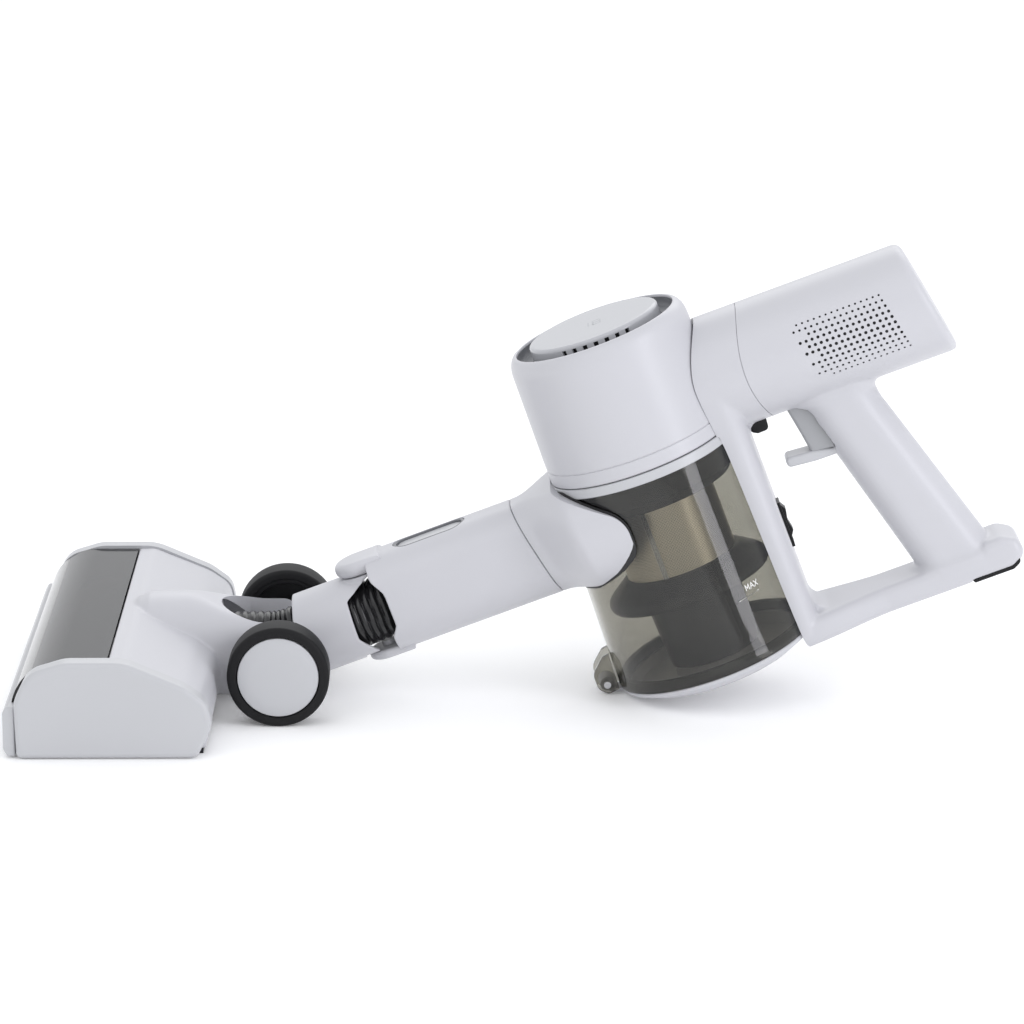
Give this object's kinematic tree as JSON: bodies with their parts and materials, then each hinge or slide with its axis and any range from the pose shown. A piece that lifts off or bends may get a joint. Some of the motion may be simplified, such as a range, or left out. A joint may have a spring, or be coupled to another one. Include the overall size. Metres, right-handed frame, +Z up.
{
  "type": "handheld vacuum",
  "caption": "Cordless handheld vacuum: motor housing over a clear cyclone cup, barrel and loop handle behind, short tube and swivelling motor brush head with wheels in front.",
  "frame": {"origin": "on the floor under the middle of the whole object, with the brush head flat on the floor and the cup door's rim touching it", "axes": "+X from the brush head to the handle, +Y to the left of that direction, +Z up"},
  "size_m": [0.5568, 0.254, 0.2536],
  "materials": {
    "white_shell": "satin moulded ABS",
    "light_trim": "satin moulded ABS",
    "smoked_clear": "smoked clear polycarbonate",
    "smoked_window": "smoked clear polycarbonate",
    "dark_plastic": "fine texture",
    "grey_plastic": "fine texture",
    "black_rubber": "matt",
    "tyre_rubber": "matt",
    "hose": "ribbed",
    "steel": "brushed",
    "mesh_steel": "perforated sheet, champagne tint",
    "chrome_trim": "polished",
    "motor_can": "turned",
    "battery": null,
    "board": "circuit board",
    "filter_media": "pleated paper",
    "bristle": "stiff nylon bristle"
  },
  "bodies": {
    "main": {"motor_housing": "white_shell", "recess_ring": "grey_plastic", "display_pad": "light_trim", "display_board": "board", "fan_motor": "motor_can", "motor_bulkhead": "dark_plastic", "housing_base": "white_shell", "cup_shell": "smoked_clear", "cyclone_cap": "dark_plastic", "filter": "filter_media", "steel_mesh": "mesh_steel", "shroud_skirt": "dark_plastic", "dust_tube": "dark_plastic", "door_pin": "steel", "inlet_duct": "white_shell", "connector_tube": "white_shell", "button_bezel": "chrome_trim", "yaw_lugs": "white_shell", "yaw_pins": "steel", "barrel_saddle": "white_shell", "barrel_shell": "white_shell", "handle_left": "white_shell", "handle_right": "white_shell", "battery_cells": "battery", "control_board": "board", "charge_contacts": "dark_plastic", "finger_rest": "light_trim", "slider_bezel": "dark_plastic", "trigger_pin": "steel", "trigger_spring": "steel"},
    "impeller": {"impeller": "dark_plastic"},
    "cup_door": {"bottom_door": "white_shell", "door_seal": "black_rubber"},
    "trigger": {"trigger": "grey_plastic"},
    "mode_button": {"mode_button": "dark_plastic"},
    "release_slider": {"release_slider": "dark_plastic"},
    "tube_button": {"tube_button": "light_trim"},
    "neck": {"neck_tube": "white_shell", "hose_rear": "hose", "pitch_pins": "steel"},
    "head": {"head_shell": "white_shell", "head_window": "smoked_window", "end_cap_left": "white_shell", "end_cap_right": "white_shell", "front_bumper": "light_trim", "sole_plate": "dark_plastic", "neck_cowl": "white_shell", "wheel_axles": "steel", "hose_front": "hose", "brush_motor": "motor_can", "roller_bearings": "steel", "drive_belt": "black_rubber"},
    "roller": {"brush_roller": "grey_plastic", "brush_tufts": "bristle"},
    "belt_pulley": {"motor_pulley": "grey_plastic"},
    "wheel_left": {"tyre_left": "tyre_rubber", "hub_left": "white_shell"},
    "wheel_right": {"tyre_right": "tyre_rubber", "hub_right": "white_shell"}
  },
  "joints": [
    {"name": "neck_swivel", "type": "hinge", "parent": "main", "child": "neck", "pos_m": [-0.08186, 0, 0.04757], "axis": [-0.3514, 0, 0.9362], "range_deg": [-35, 35], "deforming": ["hose_rear"]},
    {"name": "head_pitch", "type": "hinge", "parent": "neck", "child": "head", "pos_m": [-0.134, 0, 0.028], "axis": [0, 1, 0], "range_deg": [-10, 60], "deforming": ["hose_front"]},
    {"name": "wheel_left_spin", "type": "hinge", "parent": "head", "child": "wheel_left", "pos_m": [-0.134, 0, 0.028], "axis": [0, 1, 0], "continuous": true},
    {"name": "wheel_right_spin", "type": "hinge", "parent": "head", "child": "wheel_right", "pos_m": [-0.134, 0, 0.028], "axis": [0, 1, 0], "continuous": true},
    {"name": "roller_spin", "type": "hinge", "parent": "head", "child": "roller", "pos_m": [-0.2465, 0, 0.023], "axis": [0, 1, 0], "continuous": true},
    {"name": "belt_pulley_spin", "type": "hinge", "parent": "head", "child": "belt_pulley", "pos_m": [-0.198, 0, 0.02], "axis": [0, 1, 0], "continuous": true},
    {"name": "impeller_spin", "type": "hinge", "parent": "main", "child": "impeller", "pos_m": [0.05997, 0, 0.15206], "axis": [-0.3514, 0, 0.9362], "continuous": true},
    {"name": "door_hinge", "type": "hinge", "parent": "main", "child": "cup_door", "pos_m": [0.04735, 0, 0.0058], "axis": [0, 1, 0], "range_deg": [0, 95]},
    {"name": "trigger_pull", "type": "hinge", "parent": "main", "child": "trigger", "pos_m": [0.15834, 0, 0.16174], "axis": [0, -1, 0], "range_deg": [0, 8], "stiffness_Nm_per_rad": 0.6, "springref_deg": -5.73, "deforming": ["trigger_spring"]},
    {"name": "mode_button_press", "type": "slide", "parent": "main", "child": "mode_button", "axis": [-0.3514, 0, 0.9362], "range_m": [0, 0.0015], "stiffness_N_per_m": 600, "springref_m": -0.001},
    {"name": "cup_release_slide", "type": "slide", "parent": "main", "child": "release_slider", "axis": [0.3514, 0, -0.9362], "range_m": [0, 0.0035], "stiffness_N_per_m": 400, "springref_m": -0.002},
    {"name": "tube_button_press", "type": "slide", "parent": "main", "child": "tube_button", "axis": [0.3514, 0, -0.9362], "range_m": [0, 0.0014], "stiffness_N_per_m": 600, "springref_m": -0.001}
  ],
  "couplings": [
    {"joint": "belt_pulley_spin", "follows": "roller_spin", "ratio": 2.2}
  ]
}
